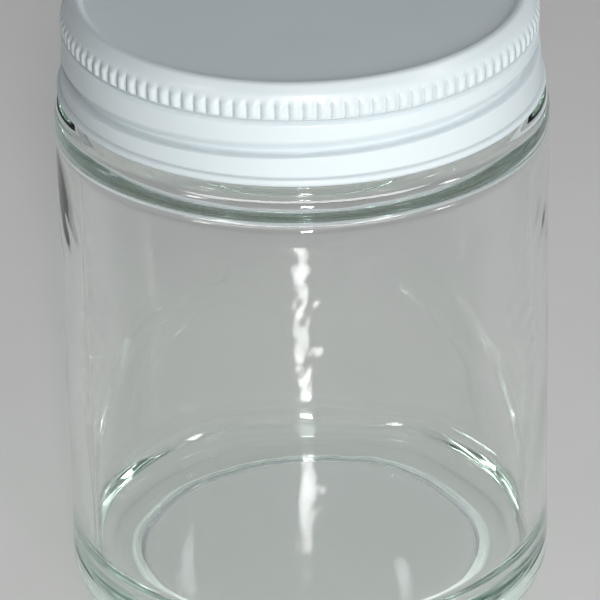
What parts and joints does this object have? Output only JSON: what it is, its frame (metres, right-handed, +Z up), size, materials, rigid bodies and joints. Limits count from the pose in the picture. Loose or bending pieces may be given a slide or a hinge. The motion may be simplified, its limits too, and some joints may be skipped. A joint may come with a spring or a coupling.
{
  "type": "candle jar",
  "caption": "Straight-sided clear glass jar with a narrower threaded neck and a white metal screw cap with a knurled band and a sealing ring.",
  "frame": {"origin": "centre of the ring on which the jar stands, at table height", "axes": "+Z up along the jar's axis, -Y towards the front"},
  "size_m": [0.0746, 0.0746, 0.0982],
  "materials": {
    "clear_glass": "clear, fire-polished, faint green in thick edges",
    "white_enamel": "glossy baked enamel on tinplate",
    "sealing_compound": "soft flowed-in vinyl compound, satin"
  },
  "bodies": {
    "jar": {"glass_jar": "clear_glass"},
    "lid_seal": {"sealing_ring": "sealing_compound"},
    "lid_cap": {"screw_cap": "white_enamel"}
  },
  "joints": [
    {"name": "lid_rise", "type": "slide", "parent": "jar", "child": "lid_seal", "axis": [0, 0, 1], "range_m": [0, 0.02032]},
    {"name": "lid_turn", "type": "hinge", "parent": "lid_seal", "child": "lid_cap", "pos_m": [0, 0, 0.09], "axis": [0, 0, 1], "range_deg": [0, 1440]}
  ],
  "couplings": [
    {"joint": "lid_rise", "follows": "lid_turn", "m_per_rad": 0.00080851}
  ]
}
